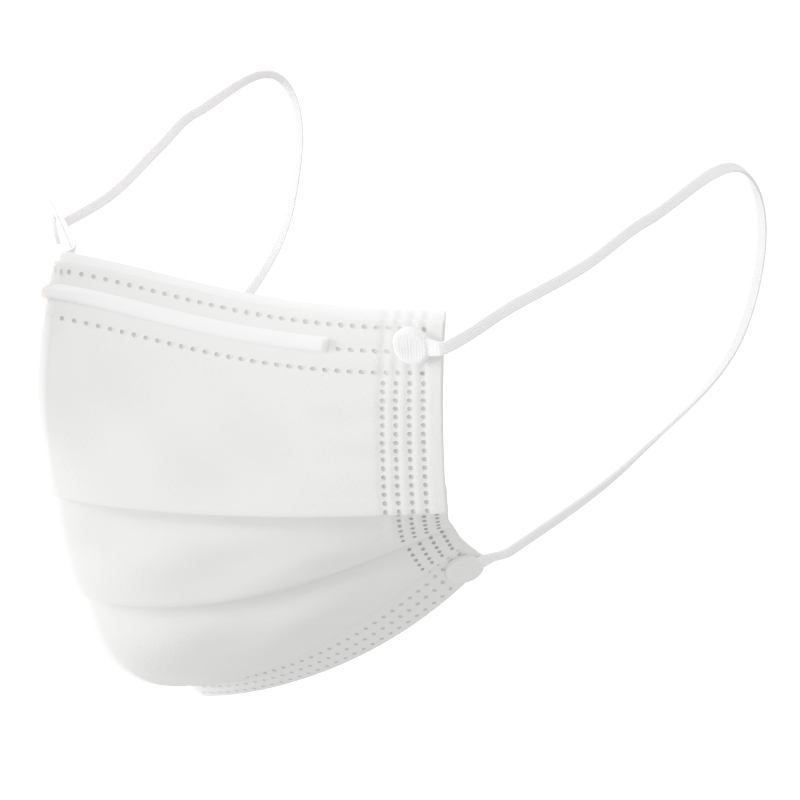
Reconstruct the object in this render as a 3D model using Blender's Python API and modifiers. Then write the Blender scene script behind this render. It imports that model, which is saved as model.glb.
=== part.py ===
"""Surgical face mask in its worn form.

Two pleated plies, a nose wire, four weld pads and two flat ear loops. Units are metres, +Z is up, the front
looks along -Y and +X is the wearer's left. The origin is the seat on the bridge of the nose, just behind the
inner ply, in the crease of the nose and a little below the top edge.
"""
import math
from collections import namedtuple

import bmesh
import bpy
from mathutils import Matrix, Vector

# Overall sizes of the worn form
HALF_WIDTH = 0.0735
DEPTH = 0.0470
HEIGHT = 0.1076
SEAT_BELOW_EDGE = 0.0060
SEAT_BEHIND_CREASE = 0.0023

# Cloth
OUTER_WALL = 0.0010
INNER_WALL = 0.0010
PLY_GAP = 0.0003
RIM_PROUD = 0.0018
INNER_SHORT_AT_HEM = 0.0006

# Pleats: how far each fold is tucked up, at the side weld and at the centre crease
FOLD_GAP = 0.0003
TUCK_SIDE = 0.0033
TUCK_CENTRE = 0.0024

# Nose wire
WIRE_HALF_LENGTH = 0.0620
WIRE_WIDTH = 0.0028
WIRE_THICKNESS = 0.0008
WIRE_BELOW_EDGE = 0.0064

# Weld pads
PAD_DIAMETER = 0.0078
PAD_THICKNESS = 0.0010
PAD_BEVEL = 0.00025
UPPER_PAD_FROM_SIDE = 0.0064
UPPER_PAD_BELOW_EDGE = 0.0052
LOWER_PAD_FROM_SIDE = 0.0048
LOWER_PAD_ABOVE_HEM = 0.0030
SEAT_GAP = 0.0003

# Ear loops
STRAP_WIDTH = 0.0026
STRAP_THICKNESS = 0.0010
STRAP_END_GAP = 0.0005
LOOP_REACH = 0.0850
LOOP_RISE = 0.0275
LOOP_DROP = 0.0550
LOOP_SPLAY = 0.0148

# Mesh fineness
HALF_COLUMNS = 18
COLUMN_CROWDING = 1.25
STRAP_STATIONS = 40
PAD_SIDES = 24

Row = namedtuple("Row", "name width front back point high_front high_side bend sag")
# Each row of the cloth runs from the centre crease to the side weld. width is a share of HALF_WIDTH, front and
# back are shares of DEPTH at the crease and at the side, and the heights and the sag are shares of HEIGHT.
# point says how sharp the crease is in plan (1 is a straight flank), bend how late the height changes.
TOP_EDGE = Row("top edge", 1.00, 0.000, 0.915, 0.72, 0.000, 0.047, 1.30, 0.040)
HEM_LINE = Row("hem line", 0.97, -0.066, 0.945, 0.80, 0.106, 0.155, 1.55, 0.036)
PLEAT_1 = Row("pleat 1", 0.96, -0.059, 0.985, 1.20, 0.470, 0.433, 1.50, 0.011)
PLEAT_2 = Row("pleat 2", 0.90, 0.065, 1.085, 1.30, 0.695, 0.480, 1.38, 0.041)
PLEAT_3 = Row("pleat 3", 0.89, 0.604, 1.180, 1.90, 0.963, 0.531, 1.00, 0.068)
HEM = Row("bottom edge", 0.88, 0.706, 1.340, 1.36, 1.000, 0.580, 2.45, -0.055)
ROWS = (TOP_EDGE, PLEAT_1, PLEAT_2, PLEAT_3, HEM)
LAST_PANEL = len(ROWS) - 2

# Outward swell of each panel below the first, as a share of its height, at the crease and at the side
Swell = namedtuple("Swell", "crease side")
SWELLS = {1: Swell(0.05, 0.02), 2: Swell(0.18, 0.05), 3: Swell(0.05, 0.02)}

RouteStation = namedtuple("RouteStation", "reach rise splay")
# The ear loop's route beyond its upper pad, as shares of LOOP_REACH, LOOP_RISE (LOOP_DROP where negative)
# and LOOP_SPLAY. It climbs straight back, turns down behind the ear and comes forward to the lower pad.
LOOP_ROUTE = (
    RouteStation(0.24, 0.20, 0.42),
    RouteStation(0.44, 0.42, 0.62),
    RouteStation(0.60, 0.71, 0.88),
    RouteStation(0.94, 0.91, 0.95),
    RouteStation(0.95, -0.17, 0.90),
    RouteStation(0.66, -0.61, 0.48),
    RouteStation(0.29, -0.88, 0.15),
)
# How far the strap is turned about its own run, in degrees: 0 lies flat against the side of the face
StrapTurn = namedtuple("StrapTurn", "along turn")
STRAP_TURNS = (
    StrapTurn(0.00, 0.0),
    StrapTurn(0.10, -15.0),
    StrapTurn(0.36, -15.0),
    StrapTurn(0.50, -90.0),
    StrapTurn(0.56, -88.0),
    StrapTurn(0.78, -5.0),
    StrapTurn(1.00, 0.0),
)

LAYER = OUTER_WALL + FOLD_GAP
FOLD_RADIUS = LAYER / 2.0
FOLD_LIFT = FOLD_RADIUS + OUTER_WALL / 2.0
STEP = 2.0 * LAYER
INNER_DEPTH = OUTER_WALL + PLY_GAP + INNER_WALL / 2.0
FOLD_CLEARANCE = FOLD_RADIUS + OUTER_WALL / 2.0 + PLY_GAP + INNER_WALL / 2.0
SLIVER = 1e-5
SLOPE_STEP = 0.0135


def clear_scene():
    """Remove every object that is already in the file."""
    for old in list(bpy.data.objects):
        bpy.data.objects.remove(old, do_unlink=True)


def material(name, colour, roughness, metallic=0.0):
    """A plain Principled material."""
    made = bpy.data.materials.new(name)
    made.use_nodes = True
    shader = made.node_tree.nodes["Principled BSDF"]
    shader.inputs["Base Color"].default_value = (*colour, 1.0)
    shader.inputs["Roughness"].default_value = roughness
    shader.inputs["Metallic"].default_value = metallic
    return made


def row_point(row, u):
    """A row's point at u, from 0 at the centre crease to 1 at the side weld."""
    u = max(u, 0.0)
    x = row.width * HALF_WIDTH * u
    y = (row.front + (row.back - row.front) * u ** row.point) * DEPTH
    drop = row.high_front + (row.high_side - row.high_front) * u ** row.bend
    drop += row.sag * math.sin(math.pi * u)
    return Vector((x, y - SEAT_BEHIND_CREASE, SEAT_BELOW_EDGE - drop * HEIGHT))


def hem_share(u):
    """How far down the upper panel its hem line lies."""
    above = (row_point(HEM_LINE, u) - row_point(TOP_EDGE, u)).length
    below = (row_point(PLEAT_1, u) - row_point(HEM_LINE, u)).length
    return above / (above + below)


def upper_panel_point(u, t):
    """The outer face of the upper panel: a smooth sheet through its edge, its hem line and its fold."""
    h = hem_share(u)
    top = row_point(TOP_EDGE, u) * ((t - h) * (t - 1.0) / h)
    middle = row_point(HEM_LINE, u) * (t * (t - 1.0) / (h * (h - 1.0)))
    fold = row_point(PLEAT_1, u) * (t * (t - h) / (1.0 - h))
    return top + middle + fold


def flank_normal(index, u):
    """The outward direction at a row on its flank, square to its run and to the panels that meet there."""
    u = min(max(u, SLOPE_STEP), 1.0 - SLOPE_STEP)
    down = Vector()
    for upper, lower in zip(ROWS[max(index - 1, 0):index + 1], ROWS[max(index - 1, 0) + 1:index + 2]):
        down += (row_point(lower, u) - row_point(upper, u)).normalized()
    across = row_point(ROWS[index], u + SLOPE_STEP) - row_point(ROWS[index], u - SLOPE_STEP)
    return across.cross(-down).normalized()


def row_normal(index, u):
    """The outward direction at a row, which looks straight ahead at the crease."""
    normal = flank_normal(index, u)
    if u < SLIVER:
        normal.x = 0.0
    return normal.normalized()


def crease_mitre(panel, t):
    """How much deeper a ply lies at the crease, so that its flanks keep their depth."""
    above = row_normal(panel, 0.0).dot(flank_normal(panel, 0.0))
    below = row_normal(panel + 1, 0.0).dot(flank_normal(panel + 1, 0.0))
    return 1.0 / (above + (below - above) * min(max(t, 0.0), 1.0))


def panel_top(panel, u):
    """The upper line of a panel's outer face, one fold behind the panel above it."""
    if panel == 0:
        return row_point(TOP_EDGE, u)
    return row_point(ROWS[panel], u) - row_normal(panel, u) * STEP


def panel_height(panel, u):
    """The height of a panel at u, along the cloth."""
    if panel == 0:
        above = (row_point(HEM_LINE, u) - row_point(TOP_EDGE, u)).length
        return above + (row_point(PLEAT_1, u) - row_point(HEM_LINE, u)).length
    return (row_point(ROWS[panel + 1], u) - panel_top(panel, u)).length


def panel_normal(panel, u, t):
    """The outward direction on a panel, turning evenly from its upper row to its lower one."""
    t = min(max(t, 0.0), 1.0)
    return row_normal(panel, u).lerp(row_normal(panel + 1, u), t).normalized()


def face_point(panel, u, t):
    """A point on a panel's outer face, t from 0 at its top to 1 at its lower fold."""
    if panel == 0:
        return upper_panel_point(u, t)
    chord = panel_top(panel, u).lerp(row_point(ROWS[panel + 1], u), t)
    swell = SWELLS[panel].crease + (SWELLS[panel].side - SWELLS[panel].crease) * u
    lift = swell * panel_height(panel, u) * 4.0 * t * (1.0 - t)
    return chord + panel_normal(panel, u, t) * lift


def cloth_point(panel, u, above, depth):
    """A point in the cloth: above is the distance up from the panel's lower row, depth the way inwards.

    Above the panel's own height it goes on up behind the panel before, one fold further in.
    """
    height = panel_height(panel, u)
    if above > height and panel > 0:
        return cloth_point(panel - 1, u, above - height, depth + STEP)
    t = 1.0 - above / height
    if u < SLIVER:
        depth *= crease_mitre(panel, t)
    return face_point(panel, u, t) - panel_normal(panel, u, t) * depth


def tuck(u):
    """How far the folds are tucked up at u: the pleats open towards the crease."""
    return TUCK_CENTRE + (TUCK_SIDE - TUCK_CENTRE) * u


def fold_turn(panel, u, above, depth, steps, down):
    """The U-turn of a fold, as (panel, above, depth) stations."""
    turn = []
    for i in range(1, steps):
        angle = math.pi * i / steps
        side = -1.0 if down else 1.0
        rise = side * FOLD_RADIUS * math.sin(angle)
        inwards = FOLD_RADIUS * (1.0 - math.cos(angle))
        turn.append((panel, above + rise, depth + inwards))
    return turn


def outer_profile(u):
    """The middle of the outer ply from its top edge to its bottom edge, with three Z-folds."""
    middle = OUTER_WALL / 2.0
    path = []
    shares = {0: (0.0, 0.12, 0.26, 0.45, 0.65, 0.84), 1: (0.15, 0.40, 0.65), 2: (0.10, 0.29, 0.48, 0.67, 0.86)}
    for panel in range(LAST_PANEL):
        height = panel_height(panel, u)
        lift = min(FOLD_LIFT, height * 0.45)
        for share in shares[panel]:
            above = lift + (height - lift) * (1.0 - share)
            path.append((panel, above, middle))
        path.append((panel, lift, middle))
        path += fold_turn(panel, u, lift, middle, 3, True)
        path.append((panel, lift, middle + LAYER))
        path.append((panel, tuck(u), middle + LAYER))
        path += fold_turn(panel, u, tuck(u), middle + LAYER, 2, False)
        path.append((panel, tuck(u), middle + STEP))
        path.append((panel, lift, middle + STEP))
    height = panel_height(LAST_PANEL, u)
    for share in (0.2, 0.5, 0.8, 1.0):
        path.append((LAST_PANEL, height * (1.0 - share), middle))
    return [cloth_point(panel, u, above, depth) for panel, above, depth in path]


def inner_profile(u):
    """The middle of the inner ply: its rim stands proud, and it steps in over each tucked fold."""
    path = [(0, panel_height(0, u) + RIM_PROUD, INNER_DEPTH)]
    shares = {0: (0.0, 0.12, 0.26, 0.45, 0.68), 1: (0.25, 0.60), 2: (0.20, 0.42, 0.62, 0.80)}
    for panel in range(LAST_PANEL):
        height = panel_height(panel, u)
        ramp = min(tuck(u) + 1.7 * FOLD_CLEARANCE, height)
        for share in shares[panel]:
            path.append((panel, ramp + (height - ramp) * (1.0 - share), INNER_DEPTH))
        path.append((panel, ramp, INNER_DEPTH))
        path.append((panel, tuck(u) + FOLD_CLEARANCE, INNER_DEPTH + STEP - PLY_GAP))
        path.append((panel, tuck(u), INNER_DEPTH + STEP + PLY_GAP))
        path.append((panel, FOLD_LIFT, INNER_DEPTH + STEP + PLY_GAP))
    height = panel_height(LAST_PANEL, u)
    for share in (0.3, 0.7):
        path.append((LAST_PANEL, height * (1.0 - share), INNER_DEPTH))
    path.append((LAST_PANEL, INNER_SHORT_AT_HEM, INNER_DEPTH))
    return [cloth_point(panel, u, above, depth) for panel, above, depth in path]


def column_places():
    """The columns' places from the crease to the side weld, closer together at the crease."""
    return [(i / HALF_COLUMNS) ** COLUMN_CROWDING for i in range(HALF_COLUMNS + 1)]


def strip_mesh(name, lines):
    """An open sheet through lines of points, each line as long as the next."""
    bm = bmesh.new()
    grid = [[bm.verts.new(point) for point in line] for line in lines]
    for left, right in zip(grid, grid[1:]):
        for i in range(len(left) - 1):
            bm.faces.new((left[i], right[i], right[i + 1], left[i + 1]))
    bmesh.ops.recalc_face_normals(bm, faces=bm.faces)
    mesh = bpy.data.meshes.new(name)
    bm.to_mesh(mesh)
    bm.free()
    return mesh


def add_object(name, mesh, collection, look):
    """Put a mesh in the collection with its material, shaded smooth."""
    made = bpy.data.objects.new(name, mesh)
    collection.objects.link(made)
    made.data.materials.append(look)
    mesh.shade_smooth()
    mesh.set_sharp_from_angle(angle=math.radians(40.0))
    return made


def mirror_across(obj):
    """Complete a half that is open at the crease."""
    mirror = obj.modifiers.new("other half", "MIRROR")
    mirror.use_clip = True
    mirror.merge_threshold = SLIVER


def thicken(obj, thickness):
    """Give a sheet its wall, half to each side."""
    wall = obj.modifiers.new("wall", "SOLIDIFY")
    wall.thickness = thickness
    wall.offset = 0.0
    wall.use_even_offset = True
    wall.use_quality_normals = True


def build_ply(name, profile, wall, collection, look):
    """A ply lofted through its profiles from the crease to the side weld, and mirrored."""
    mesh = strip_mesh(name, [profile(u) for u in column_places()])
    ply = add_object(name, mesh, collection, look)
    mirror_across(ply)
    thicken(ply, wall)
    return ply


def arc_place(panel, above_share, from_side):
    """The u at a distance from the side weld, measured along the cloth at a height."""
    steps = 400
    travelled = 0.0
    last = face_point(panel, 1.0, 1.0 - above_share)
    for i in range(steps - 1, -1, -1):
        here = face_point(panel, i / steps, 1.0 - above_share)
        travelled += (here - last).length
        last = here
        if travelled >= from_side:
            return i / steps
    return 0.0


def crease_place(panel, t, from_crease):
    """The u at a distance from the crease, measured along the cloth."""
    steps = 400
    travelled = 0.0
    last = face_point(panel, 0.0, t)
    for i in range(1, steps + 1):
        here = face_point(panel, i / steps, t)
        travelled += (here - last).length
        last = here
        if travelled >= from_crease:
            return i / steps
    return 1.0


def true_normal(panel, u, t):
    """The outward normal of a panel's outer face, from its own slopes."""
    d = 0.01
    low_u, high_u = max(u - d, 0.0), min(u + d, 1.0)
    low_t, high_t = max(t - d, 0.0), min(t + d, 1.0)
    across = face_point(panel, high_u, t) - face_point(panel, low_u, t)
    down = face_point(panel, u, high_t) - face_point(panel, u, low_t)
    return across.cross(-down).normalized()


def build_nose_wire(collection, look):
    """The flat wire band, bent over the nose along the hem."""
    t_middle = WIRE_BELOW_EDGE / panel_height(0, 0.5)
    end = crease_place(0, t_middle, WIRE_HALF_LENGTH)
    lift = SEAT_GAP + WIRE_THICKNESS / 2.0
    lines = []
    for i in range(HALF_COLUMNS + 1):
        u = end * (i / HALF_COLUMNS) ** COLUMN_CROWDING
        height = panel_height(0, u)
        line = []
        for below in (WIRE_BELOW_EDGE - WIRE_WIDTH / 2.0, WIRE_BELOW_EDGE + WIRE_WIDTH / 2.0):
            line.append(cloth_point(0, u, height - below, -lift))
        lines.append(line)
    wire = add_object("nose_wire", strip_mesh("nose_wire", lines), collection, look)
    mirror_across(wire)
    thicken(wire, WIRE_THICKNESS)
    return wire


def pad_seat(panel, below, from_side, side):
    """Where a weld pad's middle lies and which way it faces, on one side of the mask."""
    share = 1.0 - below / panel_height(panel, 1.0)
    u = arc_place(panel, share, from_side)
    t = below / panel_height(panel, u)
    normal = true_normal(panel, u, t)
    place = face_point(panel, u, t) + normal * (SEAT_GAP + PAD_THICKNESS / 2.0)
    return Vector((side * place.x, place.y, place.z)), Vector((side * normal.x, normal.y, normal.z))


def upper_seat(side):
    """The upper weld pad's seat, over the top hem."""
    return pad_seat(0, UPPER_PAD_BELOW_EDGE, UPPER_PAD_FROM_SIDE, side)


def lower_seat(side):
    """The lower weld pad's seat, over the bottom hem."""
    below = panel_height(LAST_PANEL, 1.0) - LOWER_PAD_ABOVE_HEM
    return pad_seat(LAST_PANEL, below, LOWER_PAD_FROM_SIDE, side)


def build_pad(name, seat, collection, look):
    """A round weld pad: a short bevelled cylinder that lies on the cloth."""
    place, normal = seat
    bm = bmesh.new()
    radius = PAD_DIAMETER / 2.0
    bmesh.ops.create_cone(bm, cap_ends=True, segments=PAD_SIDES, radius1=radius, radius2=radius,
                          depth=PAD_THICKNESS)
    mesh = bpy.data.meshes.new(name)
    bm.to_mesh(mesh)
    bm.free()
    pad = add_object(name, mesh, collection, look)
    turn = normal.to_track_quat("Z", "Y").to_matrix().to_4x4()
    pad.matrix_world = Matrix.Translation(place) @ turn
    edge = pad.modifiers.new("rounded rim", "BEVEL")
    edge.width = PAD_BEVEL
    edge.segments = 1
    edge.limit_method = "ANGLE"
    return pad


def smooth_curve(points, count):
    """Stations on a smooth curve through the points, as many between each two neighbours."""
    spans = [(after - before).length for before, after in zip(points, points[1:])]
    ends = [points[0]] + points + [points[-1]]
    tangents = [(after - before).normalized() for before, after in zip(ends, ends[2:])]
    stations = []
    for i in range(count + 1):
        place = len(spans) * i / count
        k = min(int(place), len(spans) - 1)
        s = place - k
        start = points[k] * (2.0 * s ** 3 - 3.0 * s ** 2 + 1.0)
        end = points[k + 1] * (3.0 * s ** 2 - 2.0 * s ** 3)
        leaving = tangents[k] * ((s ** 3 - 2.0 * s ** 2 + s) * spans[k])
        arriving = tangents[k + 1] * ((s ** 3 - s ** 2) * spans[k])
        stations.append(start + end + leaving + arriving)
    return stations


def turn_at(along):
    """The strap's turn at a share of its run, between the rows of the table."""
    for low, high in zip(STRAP_TURNS, STRAP_TURNS[1:]):
        if along <= high.along:
            share = (along - low.along) / (high.along - low.along)
            share = share * share * (3.0 - 2.0 * share)
            return math.radians(low.turn + (high.turn - low.turn) * share)
    return math.radians(STRAP_TURNS[-1].turn)


def edge_station(panel, below, side):
    """Where the strap turns back round the side weld, clear of the cloth."""
    t = below / panel_height(panel, 1.0)
    face = face_point(panel, 1.0, t)
    across = (face - face_point(panel, 0.98, t)).normalized()
    place = face + true_normal(panel, 1.0, t) * (SEAT_GAP + STRAP_THICKNESS / 2.0)
    place += across * STRAP_THICKNESS
    return Vector((side * place.x, place.y, place.z))


def loop_route(side):
    """The strap's middle line, from the rim of the upper pad to the rim of the lower one."""
    upper = upper_seat(side)[0]
    lower = lower_seat(side)[0]
    points = [edge_station(0, UPPER_PAD_BELOW_EDGE, side)]
    for station in LOOP_ROUTE:
        rise = LOOP_RISE if station.rise > 0.0 else LOOP_DROP
        offset = Vector((side * LOOP_SPLAY * station.splay, LOOP_REACH * station.reach, rise * station.rise))
        points.append(upper + offset)
    low_edge = panel_height(LAST_PANEL, 1.0) - LOWER_PAD_ABOVE_HEM
    points.append(edge_station(LAST_PANEL, low_edge, side))
    reach = PAD_DIAMETER / 2.0 + STRAP_END_GAP
    start = upper + (points[0] - upper).normalized() * reach
    end = lower + (points[-1] - lower).normalized() * reach
    return [start] + points + [end]


def build_loop(name, side, collection, look):
    """A flat elastic strap that follows its route and turns about its own run."""
    stations = smooth_curve(loop_route(side), STRAP_STATIONS)
    start_normal = upper_seat(side)[1]
    end_normal = lower_seat(side)[1]
    outwards = Vector((side, 0.0, 0.0))
    lines = []
    for i, here in enumerate(stations):
        before = stations[max(i - 1, 0)]
        after = stations[min(i + 1, STRAP_STATIONS)]
        run = (after - before).normalized()
        along = i / STRAP_STATIONS
        face = outwards
        blend = 0.06
        if along < blend:
            face = start_normal.lerp(outwards, along / blend)
        elif along > 1.0 - blend:
            face = end_normal.lerp(outwards, (1.0 - along) / blend)
        face = (face - run * face.dot(run)).normalized()
        across = face.cross(run)
        turn = turn_at(along)
        across = across * math.cos(turn) + face * math.sin(turn) * side
        half = across.normalized() * (STRAP_WIDTH / 2.0)
        lines.append([here - half, here + half])
    strap = add_object(name, strip_mesh(name, lines), collection, look)
    thicken(strap, STRAP_THICKNESS)
    return strap


def main():
    clear_scene()
    mask = bpy.data.collections.new("surgical face mask")
    bpy.context.scene.collection.children.link(mask)
    outer_look = material("outer nonwoven", (0.80, 0.81, 0.79), 0.85)
    inner_look = material("inner nonwoven", (0.88, 0.88, 0.87), 0.85)
    wire_look = material("nose wire", (0.92, 0.92, 0.92), 0.45)
    pad_look = material("weld pad", (0.90, 0.90, 0.89), 0.60)
    strap_look = material("elastic", (0.86, 0.86, 0.84), 0.80)
    build_ply("outer_layer", outer_profile, OUTER_WALL, mask, outer_look)
    build_ply("inner_layer", inner_profile, INNER_WALL, mask, inner_look)
    build_nose_wire(mask, wire_look)
    for word, side in (("left", 1.0), ("right", -1.0)):
        build_pad("weld_pad_upper_" + word, upper_seat(side), mask, pad_look)
        build_pad("weld_pad_lower_" + word, lower_seat(side), mask, pad_look)
        build_loop("ear_loop_" + word, side, mask, strap_look)


main()
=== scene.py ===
"""Looks of the surgical face mask: fine cloth, weld dots, nose band, knurled pads and knitted ear loops.

The pieces are worked out from the part's named sizes, in metres, and stand where its solids stand.
+Z is up, the front looks along -Y, +X is the wearer's left, and the origin is the seat on the bridge
of the nose.
"""
import math
from collections import namedtuple

import bmesh
import bpy
import numpy as np
from mathutils import Matrix, Vector, noise


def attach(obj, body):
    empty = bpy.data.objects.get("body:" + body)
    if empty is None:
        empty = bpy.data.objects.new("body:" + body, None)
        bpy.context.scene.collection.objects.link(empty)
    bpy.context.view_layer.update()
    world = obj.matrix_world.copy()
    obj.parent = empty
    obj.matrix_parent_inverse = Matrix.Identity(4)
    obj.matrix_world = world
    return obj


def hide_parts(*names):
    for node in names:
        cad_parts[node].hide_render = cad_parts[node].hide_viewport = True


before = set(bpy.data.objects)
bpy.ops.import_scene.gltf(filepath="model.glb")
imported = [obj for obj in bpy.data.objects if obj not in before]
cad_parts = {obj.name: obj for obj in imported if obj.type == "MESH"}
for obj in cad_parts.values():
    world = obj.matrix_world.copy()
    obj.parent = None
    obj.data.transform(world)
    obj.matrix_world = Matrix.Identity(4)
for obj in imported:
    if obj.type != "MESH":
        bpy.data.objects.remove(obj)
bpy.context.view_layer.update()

# The photo's camera: its place round the mask in degrees, and sizes in metres and pixels
CAMERA_AZIMUTH = 50.5
CAMERA_ELEVATION = 17.6
CAMERA_ROLL = -0.4
CAMERA_DISTANCE = 0.451
CAMERA_TARGET = (0.0465, 0.0519, -0.0238)
PIXELS_PER_METRE = 4812.0
IMAGE_WIDTH = 800.0
SENSOR_WIDTH = 36.0

# Overall sizes of the worn form
HALF_WIDTH = 0.0735
DEPTH = 0.0470
HEIGHT = 0.1076
SEAT_BELOW_EDGE = 0.0060
SEAT_BEHIND_CREASE = 0.0023

# Cloth
CLOTH = 0.00045
PLY_GAP = 0.00040
RIM_PROUD = 0.0018
INNER_SHORT_AT_HEM = 0.0006
FOLD_GAP = 0.00025
TUCK_SIDE = 0.0033
TUCK_CENTRE = 0.0024
LAYER = CLOTH + FOLD_GAP
STEP = 2.0 * LAYER
FOLD_RADIUS = LAYER / 2.0
INNER_DEPTH = CLOTH + PLY_GAP

# Relief of the cloth: how far the lines of welds pull it in and over what width, the recess just
# below a fold and its height, the buckles between the welds and the drag beside the side bands
COLUMN_PULL_WIDTH = 0.00080
COLUMN_PULL = 0.00022
LOW_COLUMN_PULL = 0.00050
LOW_COLUMN_PUFF = 0.00030
ROW_PULL_WIDTH = 0.0010
TOP_ROW_PULL = 0.00018
HEM_ROW_PULL = 0.00016
RECESS = 0.0009
RECESS_HEIGHT = 0.0040
BUCKLE = 0.00035
DRAG = 0.00012

# How far the soft cloth of the upper panel rounds its crease, and over what share of the half
CREASE_SOFTENED = 0.0008
CREASE_REACH = 0.060

# Weld dots: rows by their distance below the top edge, columns by theirs from the side weld. The
# panels below the first fold have their own columns of flatter dots
DOT_RADIUS = 0.00066
DOT_LIP = 0.00053
DOT_CORE = 0.00042
DOT_RISE = 0.00015
DOT_SUNK = 0.00009
DOT_SIDES = 12
DOT_PITCH = 0.0026
TOP_DOT_ROWS = (0.0020, 0.0071, 0.0117)
TOP_ROW_ENDS = (0.0043, 0.0121, 0.0043)
SIDE_DOT_COLUMNS = (0.0040, 0.0069, 0.0098, 0.0126)
SIDE_DOT_PITCH = 0.0018
LOW_DOT_COLUMNS = (0.0024, 0.0051, 0.0078, 0.0104)
LOW_DOT_PITCH = 0.00118
LOW_DOT_SCALE = 0.95
LOW_DOT_SQUASH = 0.76
LOW_DOT_LIFT = 0.00014
HEM_DOT_ROWS = (0.0020, 0.0047, 0.0074)
DOTS_FROM_CREASE = 0.0012
DOTS_FROM_BAND = 0.0014
DOTS_FROM_SIDE = 0.0030
DOTS_FROM_FOLD = 0.0010

# Nose band
WIRE_HALF_LENGTH = 0.0620
WIRE_WIDTH = 0.0028
WIRE_BELOW_EDGE = 0.0064
BAND_TAPER = 0.0006
BAND_STATIONS = 90
BAND_PUCKER = 0.00006

# Weld pads
PAD_DIAMETER = 0.0078
PAD_THICKNESS = 0.0010
UPPER_PAD_FROM_SIDE = 0.0064
UPPER_PAD_BELOW_EDGE = 0.0055
LOWER_PAD_FROM_SIDE = 0.0048
LOWER_PAD_ABOVE_HEM = 0.0030
LOWER_END_ABOVE_HEM = 0.0012
PAD_WIDENED = 1.06
PAD_RIM = 0.28
PAD_RINGS = 20
PAD_SIDES = 56
SEAT_GAP = 0.0003
PAD_RIB_PITCH = 0.00062
PAD_RIB_HEIGHT = 0.00010

# Ear loops
STRAP_WIDTH = 0.0026
STRAP_THICKNESS = 0.0010
STRAP_RIBS = 6
STRAP_RIB_DEPTH = 0.14
STRAP_FLARE = 0.45
FLARE_THINNED = 0.35
FLARE_LENGTH = 0.0022
STRAP_BLEND = 0.06
LOOP_REACH = 0.0850
LOOP_RISE = 0.0275
LOOP_DROP = 0.0550
LOOP_SPLAY = 0.0148

# Mesh fineness
HALF_COLUMNS = 110
FIRST_COLUMN = 0.022
PANEL_LINES = (46, 18, 26, 16)
STRAP_STATIONS = 300
WALK_STEPS = 401
SLOPE_STEP = 0.0135
SLIVER = 1e-5

# Studio: the floor's drop below the mask, the sweep's profile as reach and rise, and the lights
FLOOR_DROP = 0.35
SWEEP_PROFILE = ((0.0, 0.0), (2.0, 0.0), (3.0, 0.15), (3.7, 0.7), (4.0, 1.6), (4.0, 4.5), (0.0, 6.0))
SWEEP_SIDES = 48
SWEEP_GLOW = 40.0
SKY_STRENGTH = 2.75
SKY_BELOW = 0.88
KEY_POWER = 290.0
TOP_POWER = 36.0
LIGHT_TARGET = (0.0, 0.02, -0.04)

Row = namedtuple("Row", "name width front back point high_front high_side bend sag")
# Rows of the cloth as in the part: shares of HALF_WIDTH, DEPTH and HEIGHT, from the crease to the
# side weld
TOP_EDGE = Row("top edge", 1.00, 0.000, 0.915, 0.72, 0.000, 0.047, 1.30, 0.040)
HEM_LINE = Row("hem line", 0.97, -0.066, 0.945, 0.80, 0.106, 0.155, 1.55, 0.036)
PLEAT_1 = Row("pleat 1", 0.96, -0.059, 0.985, 1.20, 0.470, 0.433, 1.50, 0.011)
PLEAT_2 = Row("pleat 2", 0.90, 0.065, 1.085, 1.30, 0.695, 0.480, 1.38, 0.041)
PLEAT_3 = Row("pleat 3", 0.89, 0.604, 1.180, 1.90, 0.963, 0.531, 1.00, 0.068)
HEM = Row("bottom edge", 0.88, 0.706, 1.340, 1.36, 1.000, 0.580, 2.45, -0.055)
ROWS = (TOP_EDGE, PLEAT_1, PLEAT_2, PLEAT_3, HEM)
LAST_PANEL = len(ROWS) - 2

Swell = namedtuple("Swell", "crease side")
SWELLS = {1: Swell(0.05, 0.02), 2: Swell(0.18, 0.05), 3: Swell(0.05, 0.02)}

RouteStation = namedtuple("RouteStation", "reach rise splay")
LOOP_ROUTE = (
    RouteStation(0.24, 0.20, 0.42),
    RouteStation(0.44, 0.42, 0.62),
    RouteStation(0.60, 0.71, 0.88),
    RouteStation(0.94, 0.91, 0.95),
    RouteStation(0.95, -0.17, 0.90),
    RouteStation(0.66, -0.61, 0.48),
    RouteStation(0.29, -0.88, 0.15),
)
# The right loop as the photo shows it: how far its upper end lies below the left's, and how far its
# stations stand above the left's, as shares of LOOP_RISE
RIGHT_END_DROP = 0.0025
RIGHT_LIFTS = (-0.045, 0.080, 0.020, 0.0, 0.0, 0.0, 0.0)
# How far each strap has turned about its run, in degrees, at shares of the run
StrapTurn = namedtuple("StrapTurn", "along left right")
STRAP_TURNS = (
    StrapTurn(0.00, 0.0, 0.0),
    StrapTurn(0.10, -15.0, 12.0),
    StrapTurn(0.28, -15.0, 30.0),
    StrapTurn(0.42, -15.0, 15.0),
    StrapTurn(0.54, -90.0, -75.0),
    StrapTurn(0.57, -88.0, -85.0),
    StrapTurn(0.78, -5.0, -5.0),
    StrapTurn(1.00, 0.0, 0.0),
)


def unit(vectors):
    """Vectors of length one."""
    return vectors / np.linalg.norm(vectors, axis=-1, keepdims=True)


def length(vectors):
    """The vectors' lengths."""
    return np.linalg.norm(vectors, axis=-1)


def row_points(row, u):
    """A row's points at the places u, from 0 at the crease to 1 at the side weld."""
    u = np.maximum(u, 0.0)
    x = row.width * HALF_WIDTH * u
    y = (row.front + (row.back - row.front) * u ** row.point) * DEPTH - SEAT_BEHIND_CREASE
    drop = row.high_front + (row.high_side - row.high_front) * u ** row.bend
    drop = drop + row.sag * np.sin(math.pi * u)
    return np.stack([x, y, SEAT_BELOW_EDGE - drop * HEIGHT], axis=-1)


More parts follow.
